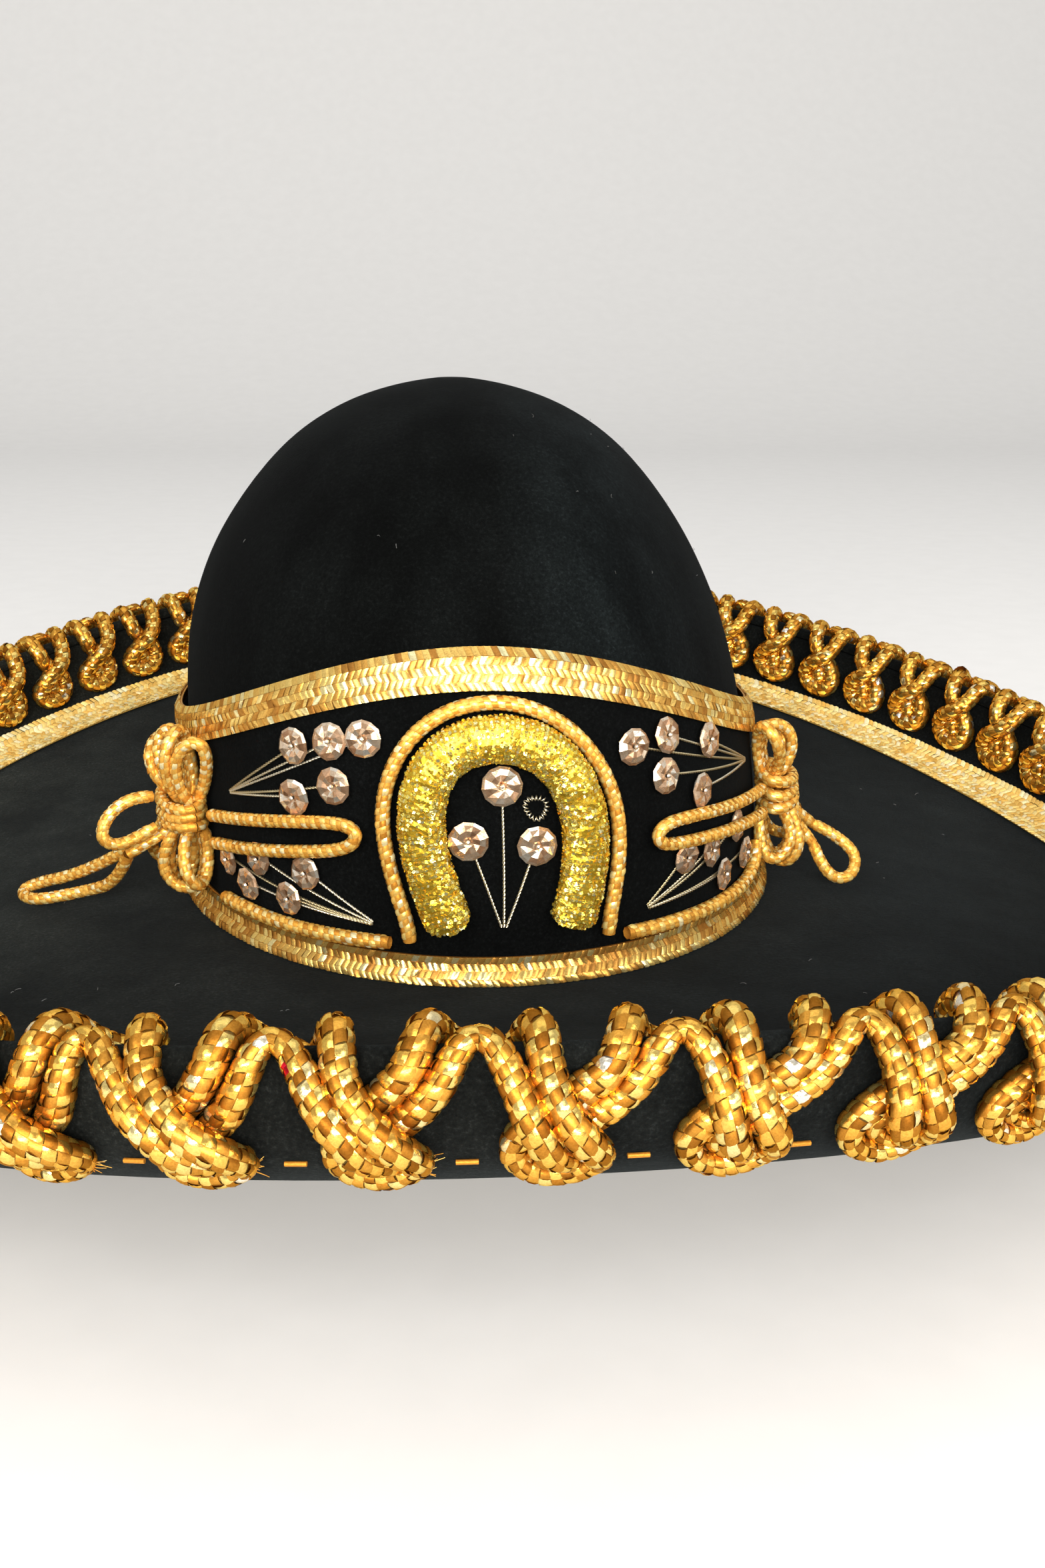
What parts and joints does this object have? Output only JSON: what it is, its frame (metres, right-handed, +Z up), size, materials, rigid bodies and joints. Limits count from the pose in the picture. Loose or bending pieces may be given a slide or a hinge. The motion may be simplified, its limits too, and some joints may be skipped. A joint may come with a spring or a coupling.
{
  "type": "sombrero",
  "caption": "Wide-brimmed black velvet charro hat with oval crown, saddle-shaped upturned brim, gold corded lip lacing, and an embroidered band with padded horseshoe and cord knots.",
  "frame": {"origin": "on the floor below the middle of the crown", "axes": "+Z up, the hat's front toward -Y, the wearer's left toward +X"},
  "size_m": [0.5283, 0.5283, 0.1779],
  "materials": {
    "velvet": "short-pile velvet over felt",
    "band_velvet": "short-pile velvet",
    "brim_board": "stiffened felt",
    "sweatband": "smooth leather strip",
    "rim_cord": "metallic braided cord",
    "trim_cord": "metallic twisted cord",
    "knot_cord": "metallic braided cord",
    "gold_braid": "metallic woven braid",
    "glitter_pad": "glitter cloth over padding",
    "sequin": "clear champagne plastic",
    "metallic_thread": "metallic thread",
    "stitch_thread": "metallic thread"
  },
  "bodies": {
    "hat": {"band_foot_braid": "gold_braid", "band_foot_cord_left": "trim_cord", "band_foot_cord_right": "trim_cord", "band_top_braid": "gold_braid", "brim_braid_ring": "gold_braid", "brim_core": "brim_board", "brim_top_cover": "velvet", "brim_under_cover": "velvet", "crown_shell": "velvet", "curled_thread": "metallic_thread", "edge_stitches": "stitch_thread", "hat_band": "band_velvet", "horseshoe_cord": "trim_cord", "horseshoe_pad": "glitter_pad", "left_front_loop": "knot_cord", "left_knot": "knot_cord", "left_side_loop": "knot_cord", "right_front_loop": "knot_cord", "right_knot": "knot_cord", "rim_cord_1": "rim_cord", "rim_cord_2": "rim_cord", "rim_cord_3": "rim_cord", "rim_cord_4": "rim_cord", "rim_cord_5": "rim_cord", "rim_cord_6": "rim_cord", "rim_cord_7": "rim_cord", "rim_cord_8": "rim_cord", "sequins_centre": "sequin", "sequins_left_lower": "sequin", "sequins_left_upper": "sequin", "sequins_right_lower": "sequin", "sequins_right_upper": "sequin", "stems_centre": "metallic_thread", "stems_left_lower": "metallic_thread", "stems_left_upper": "metallic_thread", "stems_right_lower": "metallic_thread", "stems_right_upper": "metallic_thread", "sweatband": "sweatband"},
    "left_loop": {"left_free_loop": "knot_cord"},
    "right_loop": {"right_free_loop": "knot_cord"}
  },
  "joints": [
    {"name": "left_loop_swing", "type": "hinge", "parent": "hat", "child": "left_loop", "pos_m": [-0.1055, -0.0445, 0.044], "axis": [0, 1, 0], "range_deg": [0, 25]},
    {"name": "right_loop_swing", "type": "hinge", "parent": "hat", "child": "right_loop", "pos_m": [0.104, -0.033, 0.04], "axis": [0, -1, 0], "range_deg": [0, 25]}
  ]
}
